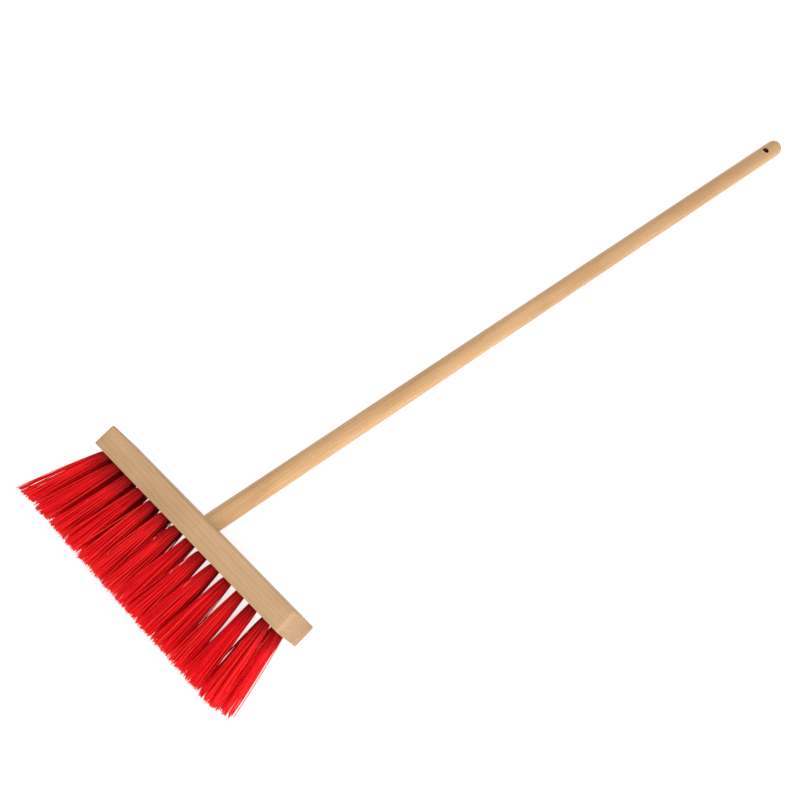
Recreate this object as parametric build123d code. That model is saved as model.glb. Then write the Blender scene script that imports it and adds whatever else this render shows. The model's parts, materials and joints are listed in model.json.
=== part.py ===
from build123d import *

import os
from math import asin, atan2, cos, degrees, hypot, radians, sin, tan

# Push broom: a beech block with three rows of red plastic tufts and a slanted beech handle.
#
# Every piece is drawn on the broom as it stands on its bristles: X along the block, Y to the
# rear, where the handle leans, Z up, and the origin on the middle of the block's underside.
# The finished broom is then laid on its back, as it rests on a floor: +X along the block,
# +Y from the bristles to the handle's free end, +Z up, origin at the middle of the footprint.
# Lengths are in millimetres and angles in degrees.

# Block
block_length = 312.0
block_width = 70.0
block_height = 28.0
block_corner_radius = 6.0
top_edge_round = 2.4
bottom_edge_round = 1.5

# Handle
handle_diameter = 24.0
handle_exposed = 1098.0
handle_lean = 24.4
handle_end_round = 10.0
handle_foot_diameter = 22.8
handle_foot_chamfer = 1.0
handle_taper_top = 12.0
socket_depth = 20.0
socket_clearance = 0.05
hanging_hole_diameter = 9.0
hanging_hole_from_tip = 40.0
hanging_hole_turn = 9.0

# Screw that holds the handle in its socket, driven in from the block's rear face
screw_height = 18.5
screw_length = 40.0
screw_shank_diameter = 4.0
screw_head_diameter = 8.0
screw_point_length = 6.0
screw_slot_width = 1.2
screw_slot_depth = 1.3
screw_clearance = 0.05

# Tufts: 14 in the front and rear rows, and a staggered middle row of 14 that leaves out the
# place under the handle socket and has its end tufts close to the block's ends. The rows sit a
# little left of the block's middle, and the tufts fan out wider on the left than on the right
tuft_pitch = 21.0
tufts_per_row = 14
row_spacing = 25.0
row_shift = -2.0
middle_row_end = 140.0
bristle_drop = 96.0
flare_at_left_end = {"front": 16.2, "middle": 13.5, "rear": 10.8}
flare_at_right_end = {"front": 12.2, "middle": 10.2, "rear": 8.2}
flare_linear_share = 0.25
side_set = -1.0
row_splay = {"front": -5.0, "middle": 0.0, "rear": 5.0}
tuft_hole_diameter = 11.0
tuft_hole_depth = 12.0
tuft_root_radius = 5.9
tuft_root_gap = 1.4
tuft_tip_radius_most = 9.6
tuft_tip_gap = 0.8

# Root plug and wire anchor of each tuft
plug_clearance = 0.05
plug_recess = 0.3
anchor_width = 11.8
anchor_thickness = 0.6
anchor_height = 2.4
anchor_slot_clearance = 0.05

handle_radius = handle_diameter / 2
row_half_length = tuft_pitch * (tufts_per_row - 1) / 2
row_y = {"front": -row_spacing, "middle": 0.0, "rear": row_spacing}
handle_along = Vector(0, sin(radians(handle_lean)), cos(radians(handle_lean)))
handle_behind = Vector(0, cos(radians(handle_lean)), -sin(radians(handle_lean)))
handle_entry = Vector(0, 0, block_height)


# ---------------------------------------------------------------- tufts

def row_places(row):
    """Places along X of the tufts of one row."""
    if row != "middle":
        return [row_shift + tuft_pitch * i - row_half_length for i in range(tufts_per_row)]
    right = [tuft_pitch * i for i in range(1, tufts_per_row // 2)] + [middle_row_end]
    return [row_shift - x for x in reversed(right)] + [row_shift + x for x in right]


def flare(row, x):
    """Sideways lean of a tuft: a set to the left, and a fan that grows fast towards the ends."""
    share = (x - row_shift) / row_half_length
    at_end = flare_at_right_end[row] if share > 0 else flare_at_left_end[row]
    return side_set + at_end * (flare_linear_share * share + (1 - flare_linear_share) * share**3)


def tuft_plane(row, x):
    """Plane on a tuft's hole mouth whose Z runs out along the tuft."""
    slope_x = tan(radians(flare(row, x)))
    slope_y = tan(radians(row_splay[row]))
    return Plane(origin=(x, row_y[row], 0), x_dir=(1, 0, slope_x), z_dir=(slope_x, slope_y, -1))


def tip_radius(row, places, index):
    """Widest tip that leaves a gap to the nearer neighbour in the row."""
    tips = [x + bristle_drop * tan(radians(flare(row, x))) for x in places]
    steps = [abs(tips[i] - tips[index]) for i in (index - 1, index + 1) if 0 <= i < len(tips)]
    room = (min(steps) - tuft_tip_gap) / 2 * cos(radians(flare(row, places[index])))
    return min(room, tuft_tip_radius_most)


def tuft(row, x, tip):
    """Envelope of a tuft's free filaments: a slim cone, domed at its root and trimmed level."""
    plane = tuft_plane(row, x)
    dome_centre = tuft_root_gap + tuft_root_radius
    trim = bristle_drop / -plane.z_dir.Z
    spread = (tip - tuft_root_radius) / (trim - dome_centre)
    reach = trim + tip
    reach_radius = tuft_root_radius + spread * (reach - dome_centre)
    crown = (0, tuft_root_gap)
    shoulder = (tuft_root_radius, dome_centre)
    diagonal = tuft_root_radius * sin(radians(45))
    dome = ThreePointArc(crown, (diagonal, dome_centre - diagonal), shoulder)
    outline = dome + Polyline(shoulder, (reach_radius, reach), (0, reach), crown)
    cone = plane * revolve(make_face(Plane.XZ * outline), Axis.Z)
    level = Plane(origin=(0, 0, -bristle_drop), z_dir=(0, 0, 1))
    return split(cone, bisect_by=level, keep=Keep.TOP)


def anchor_box(width, thickness, height):
    """Flat wire anchor across the foot of a tuft's hole, in the tuft's own plane."""
    foot = plug_recess - tuft_hole_depth
    middle = foot + height / 2
    return Pos(0, 0, middle) * Box(width, thickness, height)


def tuft_root(row, x):
    """Folded filaments packed in the block's hole, astride the wire anchor."""
    length = tuft_hole_depth - 2 * plug_recess
    radius = tuft_hole_diameter / 2 - plug_clearance
    plug = Pos(0, 0, -plug_recess - length / 2) * Cylinder(radius, length)
    spare = 2 * anchor_slot_clearance
    slot = anchor_box(anchor_width + spare, anchor_thickness + spare, anchor_height + spare)
    return tuft_plane(row, x) * (plug - slot)


def anchor(row, x):
    """Wire anchor whose two edges bite into the wall of the hole."""
    return tuft_plane(row, x) * anchor_box(anchor_width, anchor_thickness, anchor_height)


def tuft_hole(row, x):
    """Blind hole drilled along the tuft's own direction."""
    overshoot = tuft_hole_diameter
    drill = Cylinder(tuft_hole_diameter / 2, tuft_hole_depth + overshoot)
    return tuft_plane(row, x) * Pos(0, 0, (overshoot - tuft_hole_depth) / 2) * drill


# ---------------------------------------------------------------- handle and its screw

handle_plane = Plane(origin=handle_entry, x_dir=(1, 0, 0), z_dir=handle_along)


def handle_rod(spare):
    """Round rod with a tapered foot that wedges in the socket, or the socket when spare is more than 0."""
    bottom = (0, -socket_depth - spare)
    foot = (handle_foot_diameter / 2 + spare, bottom[1])
    taper_top = (handle_radius + spare, handle_taper_top)
    outline = Polyline(bottom, foot, taper_top, (taper_top[0], handle_exposed), (0, handle_exposed), bottom)
    return handle_plane * revolve(make_face(Plane.XZ * outline), Axis.Z)


def screw_shape(spare):
    """Countersunk wood screw, or the hole for it when spare is more than 0."""
    shank = screw_shank_diameter / 2 + spare
    head = screw_head_diameter / 2 + spare
    head_height = head - shank
    depth = screw_length + spare
    point = depth - screw_point_length
    outline = Polyline((0, 0), (head, 0), (shank, head_height), (shank, point), (0, depth), (0, 0))
    shape = revolve(make_face(Plane.XZ * outline), Axis.Z)
    rear_face = Plane(origin=(0, block_width / 2, screw_height), x_dir=(1, 0, 0), z_dir=(0, -1, 0))
    return rear_face * shape


def screw():
    slot = Pos(0, block_width / 2, screw_height) * Box(
        2 * screw_head_diameter, 2 * screw_slot_depth, screw_slot_width
    )
    return screw_shape(0) - slot


def handle():
    rod = handle_rod(0)
    ends = rod.edges().filter_by(GeomType.CIRCLE).sort_by(Axis.Z)
    rod = fillet(ends[-1:], handle_end_round)
    foot = rod.edges().filter_by(GeomType.CIRCLE).sort_by(Axis.Z)
    rod = chamfer(foot[:1], handle_foot_chamfer)
    drill = Cylinder(hanging_hole_diameter / 2, 2 * handle_diameter)
    hole_centre = Pos(0, 0, handle_exposed - hanging_hole_from_tip)
    rod -= handle_plane * hole_centre * Rot(0, 0, hanging_hole_turn) * Rot(90, 0, 0) * drill
    return rod - screw_shape(screw_clearance)


# ---------------------------------------------------------------- block

def block():
    plan = RectangleRounded(block_length, block_width, block_corner_radius)
    body = extrude(plan, block_height)
    body = fillet(body.faces().sort_by(Axis.Z)[-1].edges(), top_edge_round)
    body = fillet(body.faces().sort_by(Axis.Z)[0].edges(), bottom_edge_round)
    holes = [tuft_hole(row, x) for row in row_y for x in row_places(row)]
    return body - holes - handle_rod(socket_clearance) - screw_shape(screw_clearance)


# ---------------------------------------------------------------- lay the broom on its back

def lying_location(rear_tips):
    """Turn and lift that rest the rear tufts' tips and the handle's end on Z = 0."""
    ring = handle_entry + handle_along * (handle_exposed - handle_end_round)
    ring += handle_behind * (handle_radius - handle_end_round)
    rise = ring.Z - rear_tips.min.Z
    back = ring.Y - rear_tips.max.Y
    slope = atan2(back, rise) + asin(handle_end_round / hypot(rise, back))
    floor = rear_tips.min.Z * sin(slope) - rear_tips.max.Y * cos(slope)
    return Pos(0, 0, -floor) * Rot(degrees(slope) - 90, 0, 0)


# ---------------------------------------------------------------- all pieces

def all_pieces():
    pieces = {"block": [block()], "handle": [handle()], "handle_screw": [screw()]}
    for row in row_y:
        places = row_places(row)
        pieces[f"tuft_roots_{row}"] = [tuft_root(row, x) for x in places]
        pieces[f"wire_anchors_{row}"] = [anchor(row, x) for x in places]
        for index, x in enumerate(places):
            pieces[f"tuft_{row}_{index + 1:02d}"] = [tuft(row, x, tip_radius(row, places, index))]
    return pieces


def laid_on_its_back(pieces):
    """Location that lays the broom down with the origin at the middle of its footprint."""
    rear = [solid for name, solids in pieces.items() if name.startswith("tuft_rear") for solid in solids]
    laid = lying_location(Compound(rear).bounding_box())
    everything = Compound([laid * solid for solids in pieces.values() for solid in solids])
    middle = everything.bounding_box().center()
    return Pos(-middle.X, -middle.Y, 0) * laid


def main():
    os.makedirs("parts", exist_ok=True)
    pieces = all_pieces()
    placed = laid_on_its_back(pieces)
    for name, solids in pieces.items():
        moved = [placed * solid for solid in solids]
        export_step(Compound(children=moved) if len(moved) > 1 else moved[0], f"parts/{name}.step")


if __name__ == "__main__":
    main()
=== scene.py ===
import json
import math

import bpy
import numpy as np
from mathutils import Euler, Matrix, Vector


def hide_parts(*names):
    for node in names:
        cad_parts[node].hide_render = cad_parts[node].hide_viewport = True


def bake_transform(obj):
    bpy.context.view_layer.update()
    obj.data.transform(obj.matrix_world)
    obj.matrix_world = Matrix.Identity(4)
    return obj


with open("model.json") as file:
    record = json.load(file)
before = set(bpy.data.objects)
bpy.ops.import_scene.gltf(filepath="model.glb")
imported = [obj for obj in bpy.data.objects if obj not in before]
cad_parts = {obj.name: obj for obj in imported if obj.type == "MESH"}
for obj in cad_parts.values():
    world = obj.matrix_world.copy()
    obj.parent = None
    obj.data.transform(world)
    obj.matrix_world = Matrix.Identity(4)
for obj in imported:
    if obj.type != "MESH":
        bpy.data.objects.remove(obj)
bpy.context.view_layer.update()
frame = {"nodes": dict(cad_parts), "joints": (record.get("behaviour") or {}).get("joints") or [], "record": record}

# ---------------------------------------------------------------- the broom's own axes

ROWS = ("front", "middle", "rear")
JOINTS = {joint["name"]: joint for joint in frame["joints"]}
ROOT_LINE = {row: Vector(JOINTS[f"{row}_row_flex"]["pos_m"]) for row in ROWS}
MOUNTS = {mount["name"]: mount for mount in frame["record"]["mounts"]}

ALONG_BLOCK = Vector((1, 0, 0))
TO_REAR = (ROOT_LINE["rear"] - ROOT_LINE["front"]).normalized()
HANDLE_AXIS = Vector(MOUNTS["handle_grip"]["axis"]).normalized()


def axes_at(origin, x_axis, y_axis):
    """Matrix of a right-handed frame with its X and Y along the two directions."""
    z_axis = x_axis.cross(y_axis)
    turn = Matrix((x_axis, y_axis, z_axis)).transposed()
    return Matrix.Translation(origin) @ turn.to_4x4()


HEAD = axes_at(ROOT_LINE["middle"], ALONG_BLOCK, TO_REAR)
HANDLE = axes_at(Vector(MOUNTS["handle_grip"]["pos_m"]), HANDLE_AXIS, ALONG_BLOCK)

# ---------------------------------------------------------------- bristles

# Tuft layout, the same as the CAD's: lengths in metres and angles in degrees
TUFTS_PER_ROW = 14
TUFT_PITCH = 0.021
ROW_HALF_LENGTH = TUFT_PITCH * (TUFTS_PER_ROW - 1) / 2
ROW_SHIFT = -0.002
MIDDLE_ROW_END = 0.140
BRISTLE_DROP = 0.096
FLARE_AT_LEFT_END = {"front": 16.2, "middle": 13.5, "rear": 10.8}
FLARE_AT_RIGHT_END = {"front": 12.2, "middle": 10.2, "rear": 8.2}
FLARE_LINEAR_SHARE = 0.25
ROW_SPLAY = {"front": -5.0, "middle": 0.0, "rear": 5.0}
SIDE_SET = -1.0

# Random turn of each tuft about its direction in the CAD, sideways and to the rear
TUFT_WANDER = 0.7
TUFT_WANDER_TO_REAR = 0.35

# Filaments of one tuft
FILAMENTS_PER_TUFT = 84
FILAMENT_RADIUS = 0.00046
THICKNESS_RANGE = (0.88, 1.06)
FILAMENT_SIDES = 6
GOLDEN_ANGLE = 137.508
DISC_SHAKE = 0.035
HOLE_FILL_RADIUS = 0.0048
MOUTH_BULGE = 0.0011
MOUTH_BULGE_LENGTH = 0.0015
TIP_FILL_RADIUS = 0.0120
TIP_SCATTER = 0.0018
FILAMENT_BOW = 0.0008
STRAY_SHARE = 0.05
STRAY_SWING = 0.0042
ROOT_INSIDE = 0.0012

# Trim of the tips: shorter than the CAD's by this much, and less so towards the right end
TRIM_SHORTER = 0.0020
TRIM_SLOPE = 0.0014
TRIM_SCATTER = 0.0008

# How gradually filaments bend onto the floor, and the gap that they keep above it
FLOOR_SOFTNESS = 0.0015
FLOOR_GAP = 0.0001

# Shares of a filament's length where it has a ring of points, closest together at the root
RING_DEPTHS_MM = np.array([0, 1.2, 4, 8, 13, 20, 29, 40, 52, 66, 81, 97.2])
STATIONS = RING_DEPTHS_MM / RING_DEPTHS_MM[-1]
SEEDS_PER_ROW = 1000


def row_places(row):
    """Places along the block of the tufts of one row."""
    if row != "middle":
        return [ROW_SHIFT + TUFT_PITCH * i - ROW_HALF_LENGTH for i in range(TUFTS_PER_ROW)]
    right = [TUFT_PITCH * i for i in range(1, TUFTS_PER_ROW // 2)] + [MIDDLE_ROW_END]
    return [ROW_SHIFT - x for x in reversed(right)] + [ROW_SHIFT + x for x in right]


def flare(row, x):
    """Sideways lean of a tuft, in degrees: a set to the left, and a fan towards the row's ends."""
    share = (x - ROW_SHIFT) / ROW_HALF_LENGTH
    at_end = FLARE_AT_RIGHT_END[row] if share > 0 else FLARE_AT_LEFT_END[row]
    return SIDE_SET + at_end * (FLARE_LINEAR_SHARE * share + (1 - FLARE_LINEAR_SHARE) * share**3)


def disc_points(count, rng):
    """Evenly spread points of a unit disc, a little shaken."""
    order = np.arange(count) + 0.5
    radius = np.sqrt(order / count)
    angle = order * math.radians(GOLDEN_ANGLE) + rng.uniform(0, 2 * math.pi)
    points = np.stack([radius * np.cos(angle), radius * np.sin(angle)], 1)
    return points + rng.normal(0, DISC_SHAKE, points.shape)


def filament_lines(row, x, rng):
    """Centrelines of one tuft in the head's axes: filaments by stations by xyz."""
    count = FILAMENTS_PER_TUFT
    disc = disc_points(count, rng)
    lean_x = math.tan(math.radians(flare(row, x) + rng.normal(0, TUFT_WANDER)))
    lean_y = math.tan(math.radians(ROW_SPLAY[row] + rng.normal(0, TUFT_WANDER_TO_REAR)))
    lean = np.array([lean_x, lean_y])
    trim = TRIM_SHORTER - TRIM_SLOPE * x / ROW_HALF_LENGTH
    drop = BRISTLE_DROP - trim + rng.normal(0, TRIM_SCATTER, count)
    scatter = rng.normal(0, TIP_SCATTER, (count, 2))
    stray = rng.random(count) < STRAY_SHARE
    scatter[stray] += rng.normal(0, STRAY_SWING, (int(stray.sum()), 2))
    bow = rng.normal(0, FILAMENT_BOW, (count, 2))
    reach = (drop + ROOT_INSIDE)[:, None] * STATIONS[None, :] - ROOT_INSIDE
    share = np.clip(reach / BRISTLE_DROP, 0, None)[:, :, None]
    below = np.clip(reach, 0, None)[:, :, None]
    spread = disc[:, None, :] * HOLE_FILL_RADIUS
    spread = spread + disc[:, None, :] * MOUTH_BULGE * (1 - np.exp(-below / MOUTH_BULGE_LENGTH))
    fan = TIP_FILL_RADIUS - HOLE_FILL_RADIUS - MOUTH_BULGE
    spread = spread + (disc[:, None, :] * fan + scatter[:, None, :]) * share
    spread = spread + bow[:, None, :] * np.sin(math.pi * np.clip(share, 0, 1))
    lines = np.zeros((count, len(STATIONS), 3))
    root_y = (ROOT_LINE[row] - ROOT_LINE["middle"]).dot(TO_REAR)
    lines[:, :, :2] = spread + lean[None, None, :] * reach[:, :, None] + np.array([x, root_y])
    lines[:, :, 2] = -reach
    return lines


def to_row_frame(points):
    """Points of the head's axes in the frame of the whole broom."""
    matrix = np.array(HEAD)
    return points @ matrix[:3, :3].T + matrix[:3, 3]


def rest_on_floor(lines):
    """Filaments that reach the floor bend along it."""
    lowest = FILAMENT_RADIUS + FLOOR_GAP
    over = (lines[:, :, 2] - lowest) / FLOOR_SOFTNESS
    lines[:, :, 2] = lowest + np.logaddexp(0, over) * FLOOR_SOFTNESS
    return lines


def tube_mesh(name, lines, rng):
    """Closed filaments as one mesh, with each one's shade and the share of its length."""
    count, stations = lines.shape[:2]
    tangent = np.gradient(lines, axis=1)
    tangent /= np.linalg.norm(tangent, axis=2, keepdims=True)
    side = np.cross(tangent, np.array(ALONG_BLOCK))
    side /= np.linalg.norm(side, axis=2, keepdims=True)
    other = np.cross(tangent, side)
    turn = rng.uniform(0, 2 * math.pi, count)
    angle = turn[:, None] + np.arange(FILAMENT_SIDES) * 2 * math.pi / FILAMENT_SIDES
    thickness = FILAMENT_RADIUS * rng.uniform(*THICKNESS_RANGE, count)
    ring = side[:, :, None, :] * np.cos(angle)[:, None, :, None]
    ring = ring + other[:, :, None, :] * np.sin(angle)[:, None, :, None]
    points = lines[:, :, None, :] + ring * thickness[:, None, None, None]
    base = np.arange(count)[:, None, None] * stations * FILAMENT_SIDES
    level = np.arange(stations - 1)[None, :, None] * FILAMENT_SIDES
    here = np.arange(FILAMENT_SIDES)[None, None, :]
    after = (here + 1) % FILAMENT_SIDES
    walls = np.stack([
        base + level + here,
        base + level + after,
        base + level + FILAMENT_SIDES + after,
        base + level + FILAMENT_SIDES + here,
    ], -1).reshape(-1, 4)
    first = np.arange(count)[:, None] * stations * FILAMENT_SIDES
    roots = first + np.arange(FILAMENT_SIDES)[::-1]
    tips = first + (stations - 1) * FILAMENT_SIDES + np.arange(FILAMENT_SIDES)
    faces = walls.tolist() + roots.tolist() + tips.tolist()
    mesh = bpy.data.meshes.new(name)
    mesh.from_pydata(points.reshape(-1, 3).tolist(), [], faces)
    smooth = np.zeros(len(faces), bool)
    smooth[: len(walls)] = True
    mesh.polygons.foreach_set("use_smooth", smooth)
    shade = np.repeat(rng.random(count), stations * FILAMENT_SIDES)
    along = np.tile(np.repeat(STATIONS, FILAMENT_SIDES), count)
    colours = np.stack([shade, along, np.zeros_like(shade), np.ones_like(shade)], 1)
    layer = mesh.color_attributes.new("filament", "FLOAT_COLOR", "POINT")
    layer.data.foreach_set("color", colours.astype(np.float32).ravel())
    return mesh


def add_tuft(row, index, x, material):
    """One tuft in the place of its plain CAD solid."""
    rng = np.random.default_rng(SEEDS_PER_ROW * ROWS.index(row) + index)
    lines = rest_on_floor(to_row_frame(filament_lines(row, x, rng)))
    name = f"filaments_{row}_{index:02d}"
    tuft = bpy.data.objects.new(name, tube_mesh(name, lines, rng))
    tuft.data.materials.append(material)
    bpy.context.scene.collection.objects.link(tuft)
    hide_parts(f"tuft_{row}_{index:02d}")
    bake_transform(tuft)


# ---------------------------------------------------------------- materials

# Noise values mostly lie between these two
NOISE_LOW = 0.3
NOISE_HIGH = 0.7

# Beech: the colour's three parts, the rays, the end grain, and painted shade on the wall of the hanging hole
RING_STRETCH = (0.16, 1, 1)
RING_WAVE = {"Distortion": 16.0, "Detail": 3.0, "Detail Scale": 0.16, "Detail Roughness": 0.55}
RING_WEIGHT = 0.13
FIBRE_WEIGHT = 0.42
CLOUD_WEIGHT = 0.72
RAY_STOPS = [(0.64, (0, 0, 0)), (0.76, (0.4, 0.4, 0.4))]
PORE_STOPS = (0.35, 0.62)
END_GRAIN_EDGE = 4.0
END_GRAIN_SHARE = 0.75
DRILLED_EDGE = 0.0004
# Painted shade: a nearly black colour for the shadow inside the hanging hole
HOLE_WALL_PAINTED_SHADE = (0.06, 0.028, 0.012, 1)

# Red plastic, by a filament's shade and by the share of its length from root to tip
RED_SHADES = [
    (0.10, (0.78, 0.002, 0.010)),
    (0.50, (0.88, 0.003, 0.010)),
    (0.86, (0.92, 0.006, 0.010)),
    (1.00, (0.95, 0.026, 0.020)),
]
MOTTLE_WEIGHT = 0.3
ROOT_SHADOW = [(0.0, (0.30, 0.26, 0.30)), (0.12, (0.62, 0.58, 0.60)), (0.32, (1, 1, 1))]
CUT_TIP = [(0.985, (0, 0, 0)), (1.0, (0.35, 0.35, 0.35))]
CUT_TIP_COLOUR = (0.85, 0.12, 0.10, 1)
# Painted shade: roots that sit inside the block's holes are drawn at half brightness
ROOT_HOLE_PAINTED_SHADE = (0.5, 0.5, 0.5, 1)


def new_material(name):
    material = bpy.data.materials.new(name)
    material.use_nodes = True
    tree = material.node_tree
    tree.nodes.clear()
    output = tree.nodes.new("ShaderNodeOutputMaterial")
    shader = tree.nodes.new("ShaderNodeBsdfPrincipled")
    tree.links.new(shader.outputs["BSDF"], output.inputs["Surface"])
    return material, tree, shader


def add(tree, kind, sockets=None, **settings):
    """New node with its settings and its input values or links."""
    node = tree.nodes.new("ShaderNode" + kind)
    for key, value in settings.items():
        setattr(node, key, value)
    for key, value in (sockets or {}).items():
        if isinstance(value, bpy.types.NodeSocket):
            tree.links.new(value, node.inputs[key])
        else:
            node.inputs[key].default_value = value
    return node


def ramp(tree, factor, stops):
    """Colour by a factor, between stops of a position and a colour."""
    node = add(tree, "ValToRGB", {"Fac": factor})
    elements = node.color_ramp.elements
    while len(elements) < len(stops):
        elements.new(0.5)
    for element, (position, colour) in zip(elements, stops):
        element.position = position
        element.color = (*colour, 1)
    return node.outputs["Color"]


def math_node(tree, operation, first, second):
    return add(tree, "Math", {0: first, 1: second}, operation=operation).outputs[0]


def blend_colours(tree, factor, first, second, mode="MIX"):
    """Mix of two colours. The sockets are numbered, because the node repeats their names."""
    sockets = {0: factor, 6: first, 7: second}
    return add(tree, "Mix", sockets, data_type="RGBA", blend_type=mode).outputs[2]


def noise(tree, place, scale, stretch=(1, 1, 1), detail=3.0, roughness=0.5):
    """Noise that a small stretch factor draws out along that axis."""
    mapped = add(tree, "Mapping", {"Vector": place, "Scale": stretch}).outputs[0]
    sockets = {"Vector": mapped, "Scale": scale, "Detail": detail, "Roughness": roughness}
    return add(tree, "TexNoise", sockets).outputs[0]


def rough_and_bumpy(tree, shader, grain, roughness, height, strength, distance):
    """Roughness between two values by the grain, and a bump of the given height."""
    spread = {"Value": grain, "From Min": NOISE_LOW, "From Max": NOISE_HIGH}
    spread.update({"To Min": roughness[0], "To Max": roughness[1]})
    tree.links.new(add(tree, "MapRange", spread).outputs[0], shader.inputs["Roughness"])
    bump = add(tree, "Bump", {"Height": height, "Strength": strength, "Distance": distance})
    tree.links.new(bump.outputs[0], shader.inputs["Normal"])


def drilled_mask(tree, point, mount, spare):
    """1 on the wall of a drilled hole and 0 elsewhere, from the hole's mount."""
    turn = Vector(mount["axis"]).to_track_quat("Z", "Y").to_euler()
    placed = {"Vector": point, "Location": mount["pos_m"], "Rotation": turn}
    local = add(tree, "Mapping", placed, vector_type="TEXTURE").outputs[0]
    across = add(tree, "VectorMath", {0: local, 1: (1, 1, 0)}, operation="MULTIPLY").outputs[0]
    distance = add(tree, "VectorMath", {0: across}, operation="LENGTH").outputs["Value"]
    radius = mount["dims"]["r_mm"] / 1000
    edges = {"Value": distance, "From Min": radius + spare, "From Max": radius + spare / 2}
    return add(tree, "MapRange", edges).outputs[0]


def growth_rings(tree, place, pith, ring_scale):
    """Saw-tooth rings about a line along X that lies outside the wood."""
    shifted = {"Vector": place, "Location": (0, -pith[0], -pith[1]), "Scale": RING_STRETCH}
    from_pith = add(tree, "Mapping", shifted).outputs[0]
    wave = {"Vector": from_pith, "Scale": ring_scale, **RING_WAVE}
    settings = {"wave_type": "RINGS", "rings_direction": "X", "wave_profile": "SAW"}
    return add(tree, "TexWave", wave, **settings).outputs["Fac"]


def wood(name, axes, pith, ring_scale, tones, fleck, roughness, end_shade, drilled=None, coat=None):
    """Beech: growth rings about a pith line, long fibres along X, short brown rays, and painted shade on the wall
    of a given hole.
    """
    material, tree, shader = new_material(name)
    coordinates = add(tree, "TexCoord")
    point, normal = coordinates.outputs["Object"], coordinates.outputs["Normal"]
    turn = axes.to_euler()
    placed = {"Vector": point, "Location": axes.to_translation(), "Rotation": turn}
    place = add(tree, "Mapping", placed, vector_type="TEXTURE").outputs[0]
    fibres = noise(tree, place, scale=1500.0, stretch=(0.02, 1, 1), detail=4.0, roughness=0.6)
    cloud = noise(tree, place, scale=34.0, stretch=(0.2, 1, 1), detail=3.0, roughness=0.55)
    rays = noise(tree, place, scale=1250.0, stretch=(0.2, 1, 1), detail=1.0, roughness=0.4)
    pores = noise(tree, place, scale=900.0, detail=2.0, roughness=0.7)
    rings = growth_rings(tree, place, pith, ring_scale)
    ring_part = math_node(tree, "MULTIPLY", rings, RING_WEIGHT)
    fibre_part = math_node(tree, "MULTIPLY", fibres, FIBRE_WEIGHT)
    cloud_part = math_node(tree, "MULTIPLY", cloud, CLOUD_WEIGHT)
    tone = math_node(tree, "ADD", math_node(tree, "ADD", ring_part, fibre_part), cloud_part)
    colour = ramp(tree, tone, tones)
    colour = blend_colours(tree, ramp(tree, rays, RAY_STOPS), colour, (*fleck, 1))
    turned = {"Vector": normal, "Rotation": turn}
    wood_normal = add(tree, "Mapping", turned, vector_type="TEXTURE").outputs[0]
    along = add(tree, "SeparateXYZ", {0: wood_normal}).outputs[0]
    facing_end = math_node(tree, "POWER", math_node(tree, "ABSOLUTE", along, 0.0), END_GRAIN_EDGE)
    end_part = math_node(tree, "MULTIPLY", facing_end, END_GRAIN_SHARE)
    pore_colour = ramp(tree, pores, list(zip(PORE_STOPS, end_shade)))
    colour = blend_colours(tree, end_part, colour, pore_colour, "MULTIPLY")
    # Painted shade: the hole's wall is drawn nearly black for the shadow that falls inside it
    if drilled:
        hole_wall_shade = drilled_mask(tree, point, drilled, DRILLED_EDGE)
        colour = blend_colours(tree, hole_wall_shade, colour, HOLE_WALL_PAINTED_SHADE)
    tree.links.new(colour, shader.inputs["Base Color"])
    height = math_node(tree, "ADD", fibres, math_node(tree, "MULTIPLY", pores, facing_end))
    rough_and_bumpy(tree, shader, fibres, roughness, height, strength=0.35, distance=0.0002)
    if coat:
        shader.inputs["Coat Weight"].default_value = coat[0]
        shader.inputs["Coat Roughness"].default_value = coat[1]
    return material


def red_filament(name, painted_root_shade):
    """Glossy extruded red plastic whose shade differs from filament to filament."""
    material, tree, shader = new_material(name)
    layer = add(tree, "Attribute", attribute_name="filament")
    own_shade, along, _ = add(tree, "SeparateColor", {"Color": layer.outputs["Color"]}).outputs
    place = add(tree, "TexCoord").outputs["Object"]
    mottle = noise(tree, place, scale=260.0, detail=2.0)
    scuff = noise(tree, place, scale=700.0, detail=2.0, roughness=0.6)
    mottle_part = math_node(tree, "MULTIPLY", mottle, MOTTLE_WEIGHT)
    colour = ramp(tree, math_node(tree, "ADD", own_shade, mottle_part), RED_SHADES)
    colour = blend_colours(tree, 1.0, colour, ramp(tree, along, ROOT_SHADOW), "MULTIPLY")
    colour = blend_colours(tree, ramp(tree, along, CUT_TIP), colour, CUT_TIP_COLOUR)
    # Painted shade: roots inside the holes are darkened by half for the shadow there
    if painted_root_shade:
        colour = blend_colours(tree, 1.0, colour, ROOT_HOLE_PAINTED_SHADE, "MULTIPLY")
    tree.links.new(colour, shader.inputs["Base Color"])
    shader.inputs["Specular IOR Level"].default_value = 0.14
    rough_and_bumpy(
        tree, shader, scuff, roughness=(0.36, 0.56), height=scuff, strength=0.25, distance=0.0001
    )
    return material


def steel(name, low, high):
    """Bright metal with fine scratches and dull patches."""
    material, tree, shader = new_material(name)
    shader.inputs["Metallic"].default_value = 1.0
    place = add(tree, "TexCoord").outputs["Object"]
    patches = noise(tree, place, scale=400.0, detail=4.0, roughness=0.6)
    scratches = noise(tree, place, scale=2500.0, stretch=(0.06, 1, 1), detail=3.0, roughness=0.7)
    colour = ramp(tree, patches, [(NOISE_LOW, low), (NOISE_HIGH, high)])
    tree.links.new(colour, shader.inputs["Base Color"])
    rough_and_bumpy(
        tree, shader, scratches, roughness=(0.22, 0.48), height=scratches, strength=0.2, distance=0.00005
    )
    return material


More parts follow.
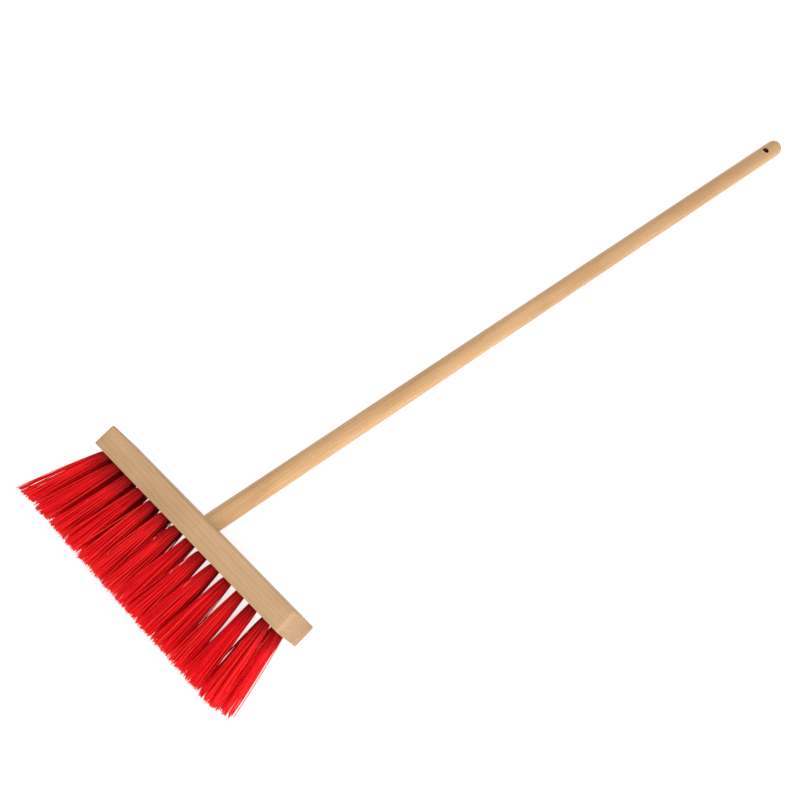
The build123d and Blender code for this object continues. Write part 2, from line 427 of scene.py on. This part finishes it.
block_wood = wood(
    "beech_block",
    HEAD,
    pith=(0.034, -0.052),
    ring_scale=95.0,
    tones=[(0.35, (0.36, 0.205, 0.094)), (0.62, (0.505, 0.302, 0.150)), (0.92, (0.62, 0.395, 0.22))],
    fleck=(0.27, 0.135, 0.06),
    roughness=(0.52, 0.68),
    end_shade=((0.55, 0.51, 0.46), (0.84, 0.81, 0.76)),
)
handle_wood = wood(
    "beech_handle",
    HANDLE,
    pith=(0.045, 0.012),
    ring_scale=80.0,
    tones=[(0.35, (0.41, 0.21, 0.080)), (0.62, (0.590, 0.335, 0.148)), (0.92, (0.71, 0.44, 0.22))],
    fleck=(0.30, 0.135, 0.05),
    roughness=(0.36, 0.5),
    end_shade=((0.72, 0.66, 0.6), (1, 1, 1)),
    drilled=MOUNTS["hanging_hole"],
    coat=(0.18, 0.32),
)

SLOT_MATERIALS = {
    "beech_block": block_wood,
    "beech_handle": handle_wood,
    "bristle_roots": red_filament("red_filament_roots", True),
    "screw_steel": steel("zinc_plated_steel", (0.42, 0.40, 0.33), (0.66, 0.64, 0.56)),
    "anchor_wire": steel("anchor_steel", (0.40, 0.40, 0.41), (0.62, 0.62, 0.64)),
}
for part in frame["record"]["subparts"]:
    material = SLOT_MATERIALS.get(part["material_slot"])
    if material:
        mesh = frame["nodes"][part["node"]].data
        mesh.materials.clear()
        mesh.materials.append(material)

bristle_red = red_filament("red_filament", False)
for row in ROWS:
    for index, x in enumerate(row_places(row), 1):
        add_tuft(row, index, x, bristle_red)

# ---------------------------------------------------------------- camera

# Place in metres and turn in degrees, both in the head's axes, and lens and sensor in mm
CAMERA_AT = (0.59149, -1.21778, 0.05927)
CAMERA_TURN = (102.3986, -44.3396, 15.0678)
CAMERA_LENS = 55.5075
CAMERA_SENSOR = 36.0
CAMERA_CLIP_END = 50.0

camera_data = bpy.data.cameras.new("camera")
camera_data.sensor_width = CAMERA_SENSOR
camera_data.lens = CAMERA_LENS
camera_data.clip_end = CAMERA_CLIP_END
camera = bpy.data.objects.new("camera", camera_data)
camera_turn = Euler([math.radians(angle) for angle in CAMERA_TURN]).to_matrix().to_4x4()
camera.matrix_world = HEAD @ Matrix.Translation(CAMERA_AT) @ camera_turn
bpy.context.scene.collection.objects.link(camera)
bpy.context.scene.camera = camera

# ---------------------------------------------------------------- floor and light

FLOOR_HALF_SIZE = 12.0
FLOOR_TONE = 0.62
FLOOR_GLOW = 0.6
WORLD_GLOW = 0.62

# Place and target in metres, disc width in metres, and power in watts
LIGHTS = {
    "key": ((2.5, -1.5, 1.25), (0, -0.15, 0), 2.0, 60),
    "fill": ((-1.2, -1.8, 2.0), (0, -0.2, 0), 2.2, 10),
    "top": ((0.2, 0.5, 3.0), (0, 0.1, 0), 2.6, 10),
}

floor_mesh = bpy.data.meshes.new("floor")
floor_mesh.from_pydata(
    [(x * FLOOR_HALF_SIZE, y * FLOOR_HALF_SIZE, 0) for x, y in ((-1, -1), (1, -1), (1, 1), (-1, 1))],
    [],
    [(0, 1, 2, 3)],
)
floor = bpy.data.objects.new("floor", floor_mesh)
floor_material, _, floor_shader = new_material("pale_floor")
floor_shader.inputs["Base Color"].default_value = (FLOOR_TONE, FLOOR_TONE, FLOOR_TONE, 1)
floor_shader.inputs["Roughness"].default_value = 0.9
floor_shader.inputs["Specular IOR Level"].default_value = 0.1
floor_shader.inputs["Emission Color"].default_value = (1, 1, 1, 1)
floor_shader.inputs["Emission Strength"].default_value = FLOOR_GLOW
floor_mesh.materials.append(floor_material)
bpy.context.scene.collection.objects.link(floor)

world = bpy.data.worlds.new("studio")
world.use_nodes = True
background = world.node_tree.nodes["Background"]
background.inputs["Color"].default_value = (1, 1, 1, 1)
background.inputs["Strength"].default_value = WORLD_GLOW
bpy.context.scene.world = world
bpy.context.scene.view_settings.view_transform = "Standard"


def soft_light(name, place, target, size, power):
    """Round area light at a place, turned to its target."""
    data = bpy.data.lights.new(name, "AREA")
    data.shape = "DISK"
    data.size = size
    data.energy = power
    light = bpy.data.objects.new(name, data)
    light.location = place
    light.rotation_euler = (Vector(target) - Vector(place)).to_track_quat("-Z", "Y").to_euler()
    bpy.context.scene.collection.objects.link(light)


for name, settings in LIGHTS.items():
    soft_light(name, *settings)
